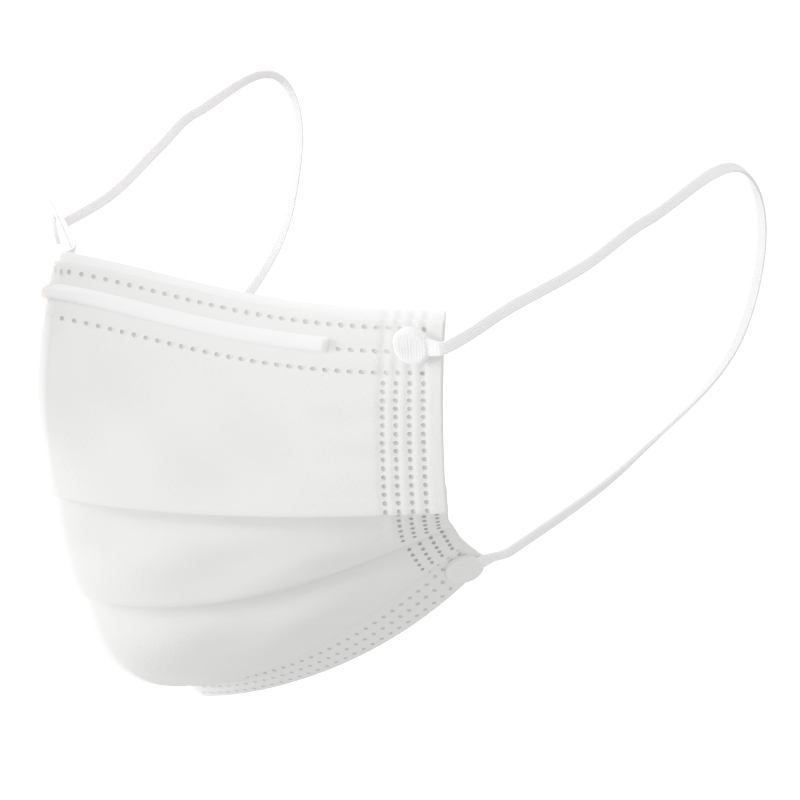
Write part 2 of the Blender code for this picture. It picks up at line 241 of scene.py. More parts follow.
def hem_share(u):
    """How far down the upper panel its hem line lies."""
    above = length(row_points(HEM_LINE, u) - row_points(TOP_EDGE, u))
    below = length(row_points(PLEAT_1, u) - row_points(HEM_LINE, u))
    return above / (above + below)


def upper_panel_points(u, t):
    """The outer face of the upper panel, through its edge, its hem line and its fold."""
    h = hem_share(u)
    top = row_points(TOP_EDGE, u) * ((t - h) * (t - 1.0) / h)[..., None]
    middle = row_points(HEM_LINE, u) * (t * (t - 1.0) / (h * (h - 1.0)))[..., None]
    fold = row_points(PLEAT_1, u) * (t * (t - h) / (1.0 - h))[..., None]
    return top + middle + fold


def flank_normals(index, u):
    """The outward directions at a row on its flank."""
    u = np.clip(u, SLOPE_STEP, 1.0 - SLOPE_STEP)
    first = max(index - 1, 0)
    down = 0.0
    for upper, lower in zip(ROWS[first:index + 1], ROWS[first + 1:index + 2]):
        down = down + unit(row_points(lower, u) - row_points(upper, u))
    across = row_points(ROWS[index], u + SLOPE_STEP) - row_points(ROWS[index], u - SLOPE_STEP)
    return unit(np.cross(across, -down))


def row_normals(index, u):
    """The outward directions at a row, straight ahead at the crease."""
    normals = flank_normals(index, u)
    normals[..., 0] = np.where(u < SLIVER, 0.0, normals[..., 0])
    return unit(normals)


def crease_mitre(panel, t):
    """How much deeper a ply lies at the crease, so that its flanks keep their depth."""
    zero = np.zeros_like(t)
    above = (row_normals(panel, zero) * flank_normals(panel, zero)).sum(-1)
    below = (row_normals(panel + 1, zero) * flank_normals(panel + 1, zero)).sum(-1)
    return 1.0 / (above + (below - above) * np.clip(t, 0.0, 1.0))


def panel_top(panel, u):
    """The upper line of a panel's outer face, one fold behind the panel above it."""
    if panel == 0:
        return row_points(TOP_EDGE, u)
    return row_points(ROWS[panel], u) - row_normals(panel, u) * STEP


def panel_height(panel, u):
    """The height of a panel at the places u, along the cloth."""
    if panel == 0:
        above = length(row_points(HEM_LINE, u) - row_points(TOP_EDGE, u))
        return above + length(row_points(PLEAT_1, u) - row_points(HEM_LINE, u))
    return length(row_points(ROWS[panel + 1], u) - panel_top(panel, u))


def panel_normals(panel, u, t):
    """The outward directions on a panel, turning evenly from its upper row to its lower one."""
    share = np.clip(t, 0.0, 1.0)[..., None]
    return unit(row_normals(panel, u) * (1.0 - share) + row_normals(panel + 1, u) * share)


def face_points(panel, u, t):
    """Points on a panel's outer face, t from 0 at its top to 1 at its lower fold."""
    if panel == 0:
        return upper_panel_points(u, t)
    share = t[..., None]
    chord = panel_top(panel, u) * (1.0 - share) + row_points(ROWS[panel + 1], u) * share
    swell = SWELLS[panel].crease + (SWELLS[panel].side - SWELLS[panel].crease) * u
    lift = swell * panel_height(panel, u) * 4.0 * t * (1.0 - t)
    return chord + panel_normals(panel, u, t) * lift[..., None]


def from_side(panel, u, t):
    """The distance along the cloth from the side weld, good near the side."""
    near = face_points(panel, np.full_like(u, 1.0), t)
    here = face_points(panel, np.full_like(u, 0.93), t)
    return (1.0 - u) * length(near - here) / 0.07


def dips(distance, rows, width, depth):
    """The pull of lines of welds on the cloth between them."""
    pull = 0.0
    for row in rows:
        pull = pull + np.exp(-((distance - row) / width) ** 2)
    return -depth * pull


def relief(panel, u, t, side):
    """How far the cloth stands proud of its panel: weld lines, puffs and soft buckles, in metres."""
    height = panel_height(panel, u)
    below = t * height
    edge = from_side(panel, u, t)
    x = side * u
    if panel == 0:
        out = dips(edge, SIDE_DOT_COLUMNS, COLUMN_PULL_WIDTH, COLUMN_PULL)
    else:
        out = dips(edge, LOW_DOT_COLUMNS, COLUMN_PULL_WIDTH, LOW_COLUMN_PULL) + LOW_COLUMN_PUFF
        inside = np.exp(-np.maximum(edge - 0.0115, 0.0) / 0.002)
        out = out * np.clip((height - below) / 0.002, 0.0, 1.0) * inside
    if panel == 0:
        pull = dips(below, TOP_DOT_ROWS, ROW_PULL_WIDTH, TOP_ROW_PULL)
        out = out + pull * np.clip(edge / 0.012, 0.3, 1.0)
        slack = np.clip((below - 0.013) / 0.012, 0.0, 1.0) * np.clip((1.0 - t) / 0.25, 0.0, 1.0)
        rounding = CREASE_SOFTENED * np.exp(-u / CREASE_REACH)
        out = out - rounding * np.clip((1.0 - t) / 0.20, 0.0, 1.0)
    elif panel == LAST_PANEL:
        out = out + dips(height - below, HEM_DOT_ROWS, ROW_PULL_WIDTH, HEM_ROW_PULL)
        slack = np.zeros_like(t)
    else:
        slack = np.clip(t * (1.0 - t) * 4.0, 0.0, 1.0)
        recess = RECESS * np.exp(-(below / RECESS_HEIGHT) ** 2)
        out = out - recess * np.clip((u - 0.08) / 0.25, 0.0, 1.0)
    slack = slack * np.clip((edge - 0.010) / 0.022, 0.0, 1.0)
    wave = np.sin(9.0 * x + 3.1 * t + 1.7 * panel) * np.sin(4.0 * t + 2.2 * x + panel)
    wave = wave + 0.5 * np.sin(21.0 * x - 5.0 * t + 2.0 + panel) * np.sin(7.0 * t - 3.0 * x)
    out = out + BUCKLE * slack * wave
    drag = np.exp(-((edge - 0.016) / 0.010) ** 2) * np.clip(t * (1.0 - t) * 5.0, 0.0, 1.0)
    return out + DRAG * drag * np.sin(below / 0.0042 * math.pi + side)


def cloth_points(panel, u, above, depth, side):
    """Points in the cloth: above is the distance up from the panel's lower row, depth the way inwards.

    Above the panel's own height they go on up behind the panel before, one fold further in.
    """
    height = panel_height(panel, u)
    t = 1.0 - above / height
    sunk = depth * np.where(u < SLIVER, crease_mitre(panel, t), 1.0)
    proud = relief(panel, u, np.clip(t, 0.0, 1.0), side)
    points = face_points(panel, u, t) - panel_normals(panel, u, t) * (sunk - proud)[..., None]
    if panel == 0:
        return points
    over = above > height
    if not over.any():
        return points
    behind = cloth_points(panel - 1, u, np.maximum(above - height, 0.0), depth + STEP, side)
    return np.where(over[..., None], behind, points)


def tuck(u):
    """How far the folds are tucked up."""
    return TUCK_CENTRE + (TUCK_SIDE - TUCK_CENTRE) * u


Station = namedtuple("Station", "panel above depth")


def fold_turn(panel, foot, depth, steps, way):
    """The U-turn of a fold, downwards where way is -1 and upwards where it is 1."""
    turn = []
    for i in range(1, steps):
        angle = math.pi * i / steps
        rise = way * FOLD_RADIUS * math.sin(angle)
        turn.append(Station(panel, foot + rise, depth + FOLD_RADIUS * (1.0 - math.cos(angle))))
    return turn


def spread(count, start, end):
    """Evenly spread shares, ends included."""
    return [start + (end - start) * i / (count - 1) for i in range(count)]


def outer_profile(u):
    """The stations of the outer ply from its top edge to its bottom edge, with its Z-folds."""
    middle = CLOTH / 2.0
    path = []
    for panel in range(LAST_PANEL):
        height = panel_height(panel, u)
        foot = np.minimum(FOLD_RADIUS + CLOTH / 2.0, height * 0.45)
        for share in spread(PANEL_LINES[panel], 0.0 if panel == 0 else 0.06, 1.0):
            path.append(Station(panel, foot + (height - foot) * (1.0 - share), middle))
        path += fold_turn(panel, foot, middle, 5, -1.0)
        path.append(Station(panel, foot, middle + LAYER))
        path.append(Station(panel, tuck(u), middle + LAYER))
        path += fold_turn(panel, tuck(u), middle + LAYER, 3, 1.0)
        path.append(Station(panel, tuck(u), middle + STEP))
        path.append(Station(panel, foot, middle + STEP))
    height = panel_height(LAST_PANEL, u)
    for share in spread(PANEL_LINES[LAST_PANEL], 0.06, 1.0):
        path.append(Station(LAST_PANEL, height * (1.0 - share), middle))
    return path


def inner_depth(panel, u, above):
    """How deep the inner ply's middle lies: it steps in over each tucked fold."""
    if panel == LAST_PANEL:
        return INNER_DEPTH + 0.0 * above
    foot = tuck(u) + LAYER
    share = np.clip((above - foot) / (3.0 * LAYER), 0.0, 1.0)
    return INNER_DEPTH + STEP * (0.5 + 0.5 * np.cos(math.pi * share))


def inner_profile(u):
    """The stations of the inner ply: its rim stands proud, and it steps in over each tucked fold."""
    path = [Station(0, panel_height(0, u) + RIM_PROUD, INNER_DEPTH + 0.0 * u)]
    path.append(Station(0, panel_height(0, u) + RIM_PROUD / 2.0, INNER_DEPTH))
    for panel in range(LAST_PANEL):
        height = panel_height(panel, u)
        ramp = np.minimum(tuck(u) + 4.0 * LAYER, height)
        for share in spread(PANEL_LINES[panel], 0.0 if panel == 0 else 0.15, 1.0):
            path.append(Station(panel, ramp + (height - ramp) * (1.0 - share), INNER_DEPTH))
        for share in (0.35, 0.7, 1.0):
            rise = ramp + (tuck(u) + LAYER - ramp) * share
            sink = 0.5 - 0.5 * math.cos(math.pi * share)
            path.append(Station(panel, rise, INNER_DEPTH + STEP * sink))
        path.append(Station(panel, tuck(u), INNER_DEPTH + STEP))
        path.append(Station(panel, FOLD_RADIUS + CLOTH / 2.0, INNER_DEPTH + STEP))
    height = panel_height(LAST_PANEL, u)
    for share in spread(PANEL_LINES[LAST_PANEL], 0.2, 1.0):
        low = height * (1.0 - share)
        path.append(Station(LAST_PANEL, np.maximum(low, INNER_SHORT_AT_HEM), INNER_DEPTH))
    return path


def column_places():
    """The columns' places: the crease, then from FIRST_COLUMN on, closer together at both ends."""
    share = np.linspace(0.0, 1.0, HALF_COLUMNS)
    eased = share - 0.45 * np.sin(2.0 * math.pi * share) / (2.0 * math.pi)
    return np.concatenate([[0.0], FIRST_COLUMN + (1.0 - FIRST_COLUMN) * eased])


def grid_mesh(name, grid, closed_across=False, uv=None):
    """A mesh of quads on a grid of points (rows, columns, 3), with UVs in metres."""
    rows, columns = grid.shape[:2]
    vertices = grid.reshape(-1, 3)
    faces = []
    wrap = columns if closed_across else columns - 1
    for r in range(rows - 1):
        for c in range(wrap):
            d = (c + 1) % columns
            faces.append((r * columns + c, r * columns + d, (r + 1) * columns + d, (r + 1) * columns + c))
    mesh = bpy.data.meshes.new(name)
    mesh.from_pydata(vertices.tolist(), [], faces)
    if uv is None:
        across = np.zeros((rows, columns))
        across[:, 1:] = np.cumsum(length(np.diff(grid, axis=1)), axis=1)
        across = across - across[:, columns // 2][:, None]
        down = np.zeros((rows, columns))
        down[1:] = np.cumsum(length(np.diff(grid, axis=0)), axis=0)
        uv = np.stack([across, down], axis=-1)
    layer = mesh.uv_layers.new(name="cloth")
    flat = uv.reshape(-1, 2)
    corners = np.empty(len(mesh.loops), dtype=np.int32)
    mesh.loops.foreach_get("vertex_index", corners)
    layer.data.foreach_set("uv", flat[corners].ravel().astype(np.float32))
    mesh.shade_smooth()
    return mesh


def add_object(name, mesh, look, node=None):
    """A piece of the mask, riding on it and standing for its node."""
    made = bpy.data.objects.new(name, mesh)
    bpy.context.scene.collection.objects.link(made)
    if look is not None:
        made.data.materials.append(look)
    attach(made, "root")
    if node is not None:
        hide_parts(node)
    return made


def build_ply(name, profile, look, node):
    """A ply lofted from one side weld through the crease to the other, and thickened."""
    u = column_places()
    halves = []
    for side in (-1.0, 1.0):
        lines = []
        for station in profile(u):
            depth = station.depth + np.zeros_like(u)
            lines.append(cloth_points(station.panel, u, station.above + np.zeros_like(u), depth, side))
        half = np.stack(lines)
        half[..., 0] *= side
        halves.append(half)
    crease = (halves[0][:, :1] + halves[1][:, :1]) / 2.0
    crease[..., 0] = 0.0
    grid = np.concatenate([halves[0][:, :0:-1], crease, halves[1][:, 1:]], axis=1)
    ply = add_object(name, grid_mesh(name, grid), look, node)
    wall = ply.modifiers.new("wall", "SOLIDIFY")
    wall.thickness = CLOTH
    wall.offset = 0.0
    return ply


def outer_face(panel, u, t, side):
    """A point on the outer face with its relief, as a plain vector."""
    u, t = np.array([u]), np.array([t])
    point = face_points(panel, u, t) + panel_normals(panel, u, t) * relief(panel, u, t, side)[..., None]
    point[..., 0] *= side
    return point[0]


def inner_face(panel, u, t, side):
    """A point on the wearer's side of the cloth."""
    u, t = np.array([u]), np.array([t])
    above = panel_height(panel, u) * (1.0 - t)
    proud = relief(panel, u, t, side) - inner_depth(panel, u, above) - CLOTH / 2.0
    point = face_points(panel, u, t) + panel_normals(panel, u, t) * proud[..., None]
    point[..., 0] *= side
    return point[0]


def face_frame(face, panel, u, t, side):
    """A place on the cloth with its across, down and outward directions."""
    d = 0.004
    low_u, high_u = max(u - d, 0.0), min(u + d, 1.0)
    low_t, high_t = max(t - d, 0.0), min(t + d, 1.0)
    across = unit(face(panel, high_u, t, side) - face(panel, low_u, t, side))
    down = face(panel, u, high_t, side) - face(panel, u, low_t, side)
    normal = unit(np.cross(down, across)) * side
    return face(panel, u, t, side), across, unit(np.cross(normal, across)), normal


def arc_walk(panel, t_at, start, end, pitch):
    """Places u at even distances along the cloth between two distances from the crease."""
    u = np.linspace(0.0, 1.0, WALK_STEPS)
    t = t_at(u)
    points = face_points(panel, u, t)
    travelled = np.concatenate([[0.0], np.cumsum(length(np.diff(points, axis=0)))])
    stop = travelled[-1] - end
    count = int((stop - start) / pitch)
    places = stop - pitch * np.arange(count + 1)
    found = np.interp(places, travelled, u)
    return [(float(a), float(np.interp(a, u, t))) for a in found]


def side_place(panel, t, distance):
    """The place u at a distance along the cloth from the side weld."""
    u = np.linspace(0.6, 1.0, 161)
    points = face_points(panel, u, np.full_like(u, t))
    travelled = np.concatenate([[0.0], np.cumsum(length(np.diff(points, axis=0)))])
    return float(np.interp(travelled[-1] - distance, travelled, u))


def dot_places():
    """Every weld dot as (panel, u, t), on one half of the mask."""
    places = []
    for k, below in enumerate(TOP_DOT_ROWS):
        start = WIRE_HALF_LENGTH + DOTS_FROM_BAND if k == 1 else DOTS_FROM_CREASE

        def below_edge(v, b=below):
            return b / panel_height(0, v)

        for u, t in arc_walk(0, below_edge, start, TOP_ROW_ENDS[k], DOT_PITCH):
            places.append((0, u, t))
    for panel in range(LAST_PANEL + 1):
        height = float(panel_height(panel, np.array([0.95]))[0])
        first = TOP_DOT_ROWS[-1] + DOT_PITCH * 0.85 if panel == 0 else DOTS_FROM_FOLD
        last = height - (DOTS_FROM_FOLD if panel < LAST_PANEL else HEM_DOT_ROWS[-1] + 0.0012)
        pitch, columns = SIDE_DOT_PITCH, SIDE_DOT_COLUMNS
        if panel > 0:
            pitch, columns = LOW_DOT_PITCH, LOW_DOT_COLUMNS
        count = max(int((last - first) / pitch), 0)
        for i in range(count + 1):
            t = (first + i * pitch) / height
            for distance in columns:
                places.append((panel, side_place(panel, t, distance), t))
    for k, above in enumerate(HEM_DOT_ROWS):
        start = DOTS_FROM_CREASE + DOT_PITCH / 2.0 * (k % 2)

        def above_hem(v, a=above):
            height = panel_height(LAST_PANEL, v)
            return 1.0 - np.minimum(a, 0.88 * height) / height

        for u, t in arc_walk(LAST_PANEL, above_hem, start, DOTS_FROM_SIDE, DOT_PITCH):
            room = float(panel_height(LAST_PANEL, np.array([u]))[0])
            if above < room - 0.0007:
                places.append((LAST_PANEL, u, t))
    return places


def near_pad(point, seats):
    """Whether a weld pad covers this point."""
    clear = PAD_DIAMETER / 2.0 + DOT_RADIUS * 0.4
    return any(np.linalg.norm(point - seat[0]) < clear for seat in seats)


def build_dots(name, face, outwards, looks, seats):
    """All weld dots on one face of the cloth: a raised lip round a pressed core."""
    vertices, faces, marks = [], [], []
    angles = 2.0 * math.pi * np.arange(DOT_SIDES) / DOT_SIDES
    rings = ((DOT_RADIUS, -0.00006), (DOT_LIP, DOT_RISE), (DOT_CORE, DOT_SUNK),
             (DOT_CORE * 0.5, DOT_SUNK * 0.9))
    for side in (-1.0, 1.0):
        for k, (panel, u, t) in enumerate(dot_places()):
            place, across, down, normal = face_frame(face, panel, u, t, side)
            normal = normal * outwards
            if near_pad(place, seats):
                continue
            first = len(vertices)
            wobble = noise.noise(Vector((k * 0.37, side * 5.0, 1.3)))
            wide = 1.0 + 0.22 * wobble
            tall = 1.0 / wide
            if 0 < panel < LAST_PANEL:
                wide, tall = wide * LOW_DOT_SCALE, tall * LOW_DOT_SCALE * LOW_DOT_SQUASH
                place = place + normal * LOW_DOT_LIFT
            for radius, rise in rings:
                for angle in angles:
                    swing = across * math.cos(angle) * wide + down * math.sin(angle) * tall
                    vertices.append(place + swing * radius + normal * rise)
            vertices.append(place + normal * DOT_SUNK * 0.8)
            way = 1 if side * outwards > 0.0 else -1
            core = 2 if panel == LAST_PANEL else 1
            for ring in range(len(rings) - 1):
                for i in range(DOT_SIDES):
                    j = (i + 1) % DOT_SIDES
                    a, b = first + ring * DOT_SIDES, first + (ring + 1) * DOT_SIDES
                    faces.append((a + i, a + j, b + j, b + i)[::way])
                    marks.append(0 if ring < 1 else core)
            last = first + (len(rings) - 1) * DOT_SIDES
            for i in range(DOT_SIDES):
                j = (i + 1) % DOT_SIDES
                faces.append((last + i, last + j, first + len(rings) * DOT_SIDES)[::way])
                marks.append(core)
    mesh = bpy.data.meshes.new(name)
    mesh.from_pydata([tuple(v) for v in vertices], [], faces)
    mesh.polygons.foreach_set("material_index", marks)
    mesh.shade_smooth()
    made = add_object(name, mesh, None)
    for look in looks:
        made.data.materials.append(look)
    return made


def build_nose_band(look):
    """The raised band over the nose wire, with rounded flanks and square ends."""
    t_at = WIRE_BELOW_EDGE / float(panel_height(0, np.array([0.5]))[0])
    u = np.linspace(0.0, 1.0, WALK_STEPS)
    points = face_points(0, u, np.full_like(u, t_at))
    travelled = np.concatenate([[0.0], np.cumsum(length(np.diff(points, axis=0)))])
    over_nose = np.linspace(0.0, 0.004, 8)[:-1]
    stations = np.concatenate([over_nose, np.linspace(0.004, WIRE_HALF_LENGTH, BAND_STATIONS)])
    half = WIRE_WIDTH / 2.0
    outline = [(-half - 0.00035, -0.00012), (-half - 0.00010, 0.00022), (-half * 0.86, 0.00058)]
    outline += [(-half * 0.62, 0.00078), (-half * 0.3, 0.00084), (0.0, 0.00080), (half * 0.3, 0.00084)]
    outline += [(half * 0.62, 0.00078), (half * 0.86, 0.00058), (half + 0.00010, 0.00022)]
    outline += [(half + 0.00035, -0.00012), (half * 0.5, -0.00015), (-half * 0.5, -0.00015)]
    lines = []
    for side in (-1.0, 1.0):
        side_lines = []
        for s in stations:
            v = np.array([np.interp(s, travelled, u)])
            height = panel_height(0, v)
            taper = min(1.0, (WIRE_HALF_LENGTH - s) / BAND_TAPER + 0.25)
            line = []
            for offset, rise in outline:
                bump = BAND_PUCKER * math.sin(s / 0.0031 + offset * 900.0) * math.sin(s / 0.0083 + side)
                depth = np.array([-(rise * taper if rise > 0.0 else rise) - bump * (rise > 0.0005)])
                p = cloth_points(0, v, height - WIRE_BELOW_EDGE - offset, depth, side)[0]
                p[0] *= side
                line.append(p)
            side_lines.append(line)
        lines.append(np.array(side_lines))
    grid = np.concatenate([lines[0][:0:-1], lines[1]], axis=0)
    mesh = grid_mesh("nose_band", grid, closed_across=True)
    cap_ends(mesh, grid.shape[0], grid.shape[1])
    return add_object("nose_band", mesh, look, "nose_wire")


def cap_ends(mesh, rows, columns):
    """Close the first and the last ring of a tube's mesh."""
    bm = bmesh.new()
    bm.from_mesh(mesh)
    bm.verts.ensure_lookup_table()
    bm.faces.new([bm.verts[i] for i in range(columns)][::-1])
    bm.faces.new([bm.verts[(rows - 1) * columns + i] for i in range(columns)])
    bmesh.ops.recalc_face_normals(bm, faces=bm.faces)
    bm.to_mesh(mesh)
    bm.free()
    mesh.shade_smooth()
    mesh.set_sharp_from_angle(angle=math.radians(50.0))


def plain_normal(panel, u, t):
    """The outward normal of a panel's outer face, as the part has it."""
    d = 0.01
    low_u, high_u = max(u - d, 0.0), min(u + d, 1.0)
    low_t, high_t = max(t - d, 0.0), min(t + d, 1.0)
    across = plain_face(panel, high_u, t) - plain_face(panel, low_u, t)
    down = plain_face(panel, u, high_t) - plain_face(panel, u, low_t)
    return unit(np.cross(down, across))


def plain_face(panel, u, t):
    """One point on a panel's outer face, without relief."""
    return face_points(panel, np.array([u]), np.array([t]))[0]


def pad_seat(panel, below, distance, side):
    """Where a weld pad's middle lies and which way it faces."""
    height = float(panel_height(panel, np.array([1.0]))[0])
    u = side_place(panel, below / height, distance)
    t = below / float(panel_height(panel, np.array([u]))[0])
    normal = plain_normal(panel, u, t)
    place = plain_face(panel, u, t) + normal * (SEAT_GAP + PAD_THICKNESS / 2.0)
    flip = np.array([side, 1.0, 1.0])
    return place * flip, normal * flip


def upper_seat(side):
    """The upper weld pad's seat."""
    return pad_seat(0, UPPER_PAD_BELOW_EDGE, UPPER_PAD_FROM_SIDE, side)


def lower_seat(side):
    """The lower weld pad's seat."""
    below = float(panel_height(LAST_PANEL, np.array([1.0]))[0]) - LOWER_PAD_ABOVE_HEM
    return pad_seat(LAST_PANEL, below, LOWER_PAD_FROM_SIDE, side)


def build_pad(name, seat, side, look, node):
    """A pressed round pad: soft rim, upright knurls and a thin skirt down to the cloth."""
    place, normal = seat
    upright = unit(np.array([0.0, 0.0, 1.0]) - normal * normal[2])
    level = np.cross(upright, normal)
    radius = PAD_DIAMETER / 2.0
    lines = []
    for r in range(PAD_RINGS + 1):
        share = r / PAD_RINGS
        line = []
        for k in range(PAD_SIDES):
            angle = 2.0 * math.pi * k / PAD_SIDES
            flat = 1.0 - 0.05 * max(0.0, -math.cos(angle) * side) ** 3
            reach = radius * share * flat * (1.0 + 0.012 * math.sin(5.0 * angle + 1.0))
            a, b = reach * math.cos(angle) * PAD_WIDENED, reach * math.sin(angle)
            dome = PAD_THICKNESS * (0.5 - 0.5 * max(0.0, (share - 0.72) / PAD_RIM) ** 2.4)
            fade = max(0.0, 1.0 - (share / 0.92) ** 6)
            worn = 0.6 + 0.4 * noise.noise(Vector((a * 700.0, b * 500.0, side)))
            rib = PAD_RIB_HEIGHT * math.cos(2.0 * math.pi * a / PAD_RIB_PITCH) * fade * worn
            line.append(place + level * a + upright * b + normal * (dome + rib))
        lines.append(line)
    line = []
    for point in lines[-1]:
        line.append(point - normal * (PAD_THICKNESS / 2.0 + SEAT_GAP))
    lines.append(line)
    grid = np.array(lines)
    local = np.stack([(grid - place) @ level, (grid - place) @ upright], axis=-1)
    mesh = grid_mesh(name, grid, closed_across=True, uv=local)
    return add_object(name, mesh, look, node)


def edge_station(panel, below, side):
    """Where the strap turns back round the side weld, clear of the cloth."""
    t = below / float(panel_height(panel, np.array([1.0]))[0])
    face = plain_face(panel, 1.0, t)
    across = unit(face - plain_face(panel, 0.98, t))
    place = face + plain_normal(panel, 1.0, t) * (SEAT_GAP + STRAP_THICKNESS / 2.0)
    place = place + across * STRAP_THICKNESS
    return place * np.array([side, 1.0, 1.0])


def loop_route(side):
    """The strap's middle line, from just inside the rim of one pad to just inside the other's."""
    upper = upper_seat(side)[0]
    lower = lower_seat(side)[0]
    drop = 0.0 if side > 0.0 else RIGHT_END_DROP
    points = [edge_station(0, UPPER_PAD_BELOW_EDGE + drop, side)]
    for station, lift in zip(LOOP_ROUTE, RIGHT_LIFTS):
        rise = (LOOP_RISE if station.rise > 0.0 else LOOP_DROP) * station.rise
        if side < 0.0:
            rise = rise + LOOP_RISE * lift
        offset = (side * LOOP_SPLAY * station.splay, LOOP_REACH * station.reach, rise)
        points.append(upper + np.array(offset))
    low_edge = float(panel_height(LAST_PANEL, np.array([1.0]))[0]) - LOWER_END_ABOVE_HEM
    points.append(edge_station(LAST_PANEL, low_edge, side))
    reach = PAD_DIAMETER / 2.0 - 0.0006
    start = upper + unit(points[0] - upper) * reach
    end = lower + unit(points[-1] - lower) * reach
    return [start] + points + [end]


def smooth_curve(points, count):
    """Stations on a smooth curve through the points, evenly spaced, as x, y, z and share of the spans."""
    spans = [np.linalg.norm(after - before) for before, after in zip(points, points[1:])]
    ends = [points[0]] + points + [points[-1]]
    tangents = [unit(after - before) for before, after in zip(ends, ends[2:])]
    fine = []
    for k, span in enumerate(spans):
        for s in np.linspace(0.0, 1.0, 60, endpoint=k == len(spans) - 1):
            start = points[k] * (2.0 * s ** 3 - 3.0 * s ** 2 + 1.0)
            end = points[k + 1] * (3.0 * s ** 2 - 2.0 * s ** 3)
            leaving = tangents[k] * ((s ** 3 - 2.0 * s ** 2 + s) * span)
            arriving = tangents[k + 1] * ((s ** 3 - s ** 2) * span)
            fine.append(np.append(start + end + leaving + arriving, (k + s) / len(spans)))
    fine = np.array(fine)
    travelled = np.concatenate([[0.0], np.cumsum(length(np.diff(fine[:, :3], axis=0)))])
    wanted = np.linspace(0.0, travelled[-1], count + 1)
    return np.stack([np.interp(wanted, travelled, fine[:, i]) for i in range(4)], axis=-1), wanted


def turn_at(along, side):
    """The strap's turn at a share of its run, between the rows of the table."""
    column = 1 if side > 0.0 else 2
    for low, high in zip(STRAP_TURNS, STRAP_TURNS[1:]):
        if along <= high.along:
            share = (along - low.along) / (high.along - low.along)
            share = share * share * (3.0 - 2.0 * share)
            return math.radians(low[column] + (high[column] - low[column]) * share)
    return math.radians(STRAP_TURNS[-1][column])


def strap_outline():
    """The strap's section: a flat oval with lengthwise knitted ribs, as (across, out)."""
    half = []
    steps = STRAP_RIBS * 4
    for i in range(steps + 1):
        across = -1.0 + 2.0 * i / steps
        oval = (1.0 - abs(across) ** 5) ** 0.5
        wave = math.cos(math.pi * STRAP_RIBS * (across + 1.0) + math.pi)
        rib = 1.0 - STRAP_RIB_DEPTH + STRAP_RIB_DEPTH * wave
        half.append((across * STRAP_WIDTH / 2.0, STRAP_THICKNESS / 2.0 * oval * rib))
    return half + [(a, -b) for a, b in half[-2:0:-1]]


def build_strap(name, side, look, node):
    """A flat knitted elastic that leaves its pads flared and turns about its own run."""
    stations, travelled = smooth_curve(loop_route(side), STRAP_STATIONS)
    whole = travelled[-1]
    start_normal = upper_seat(side)[1]
    end_normal = lower_seat(side)[1]
    outwards = np.array([side, 0.0, 0.0])
    outline = strap_outline()
    lines, uvs = [], []
    for i, station in enumerate(stations):
        here, along = station[:3], station[3]
        before = stations[max(i - 1, 0), :3]
        after = stations[min(i + 1, STRAP_STATIONS), :3]
        run = unit(after - before)
        face = outwards
        if along < STRAP_BLEND:
            face = start_normal * (1.0 - along / STRAP_BLEND) + outwards * (along / STRAP_BLEND)
        elif along > 1.0 - STRAP_BLEND:
            share = (1.0 - along) / STRAP_BLEND
            face = end_normal * (1.0 - share) + outwards * share
        face = unit(face - run * (face @ run))
        across = np.cross(face, run)
        turn = turn_at(along, side)
        across = unit(across * math.cos(turn) + face * math.sin(turn) * side)
        out = np.cross(run, across)
        near = min(travelled[i], whole - travelled[i])
        flare = 1.0 + STRAP_FLARE * math.exp(-(near / FLARE_LENGTH) ** 2)
        thin = 1.0 - FLARE_THINNED * math.exp(-(near / FLARE_LENGTH) ** 2)
        lines.append([here + across * a * flare + out * b * thin for a, b in outline])
        uvs.append([(a if b >= 0.0 else a + 0.01, travelled[i]) for a, b in outline])
    grid = np.array(lines)
    mesh = grid_mesh(name, grid, closed_across=True, uv=np.array(uvs))
    cap_ends(mesh, grid.shape[0], grid.shape[1])
    return add_object(name, mesh, look, node)


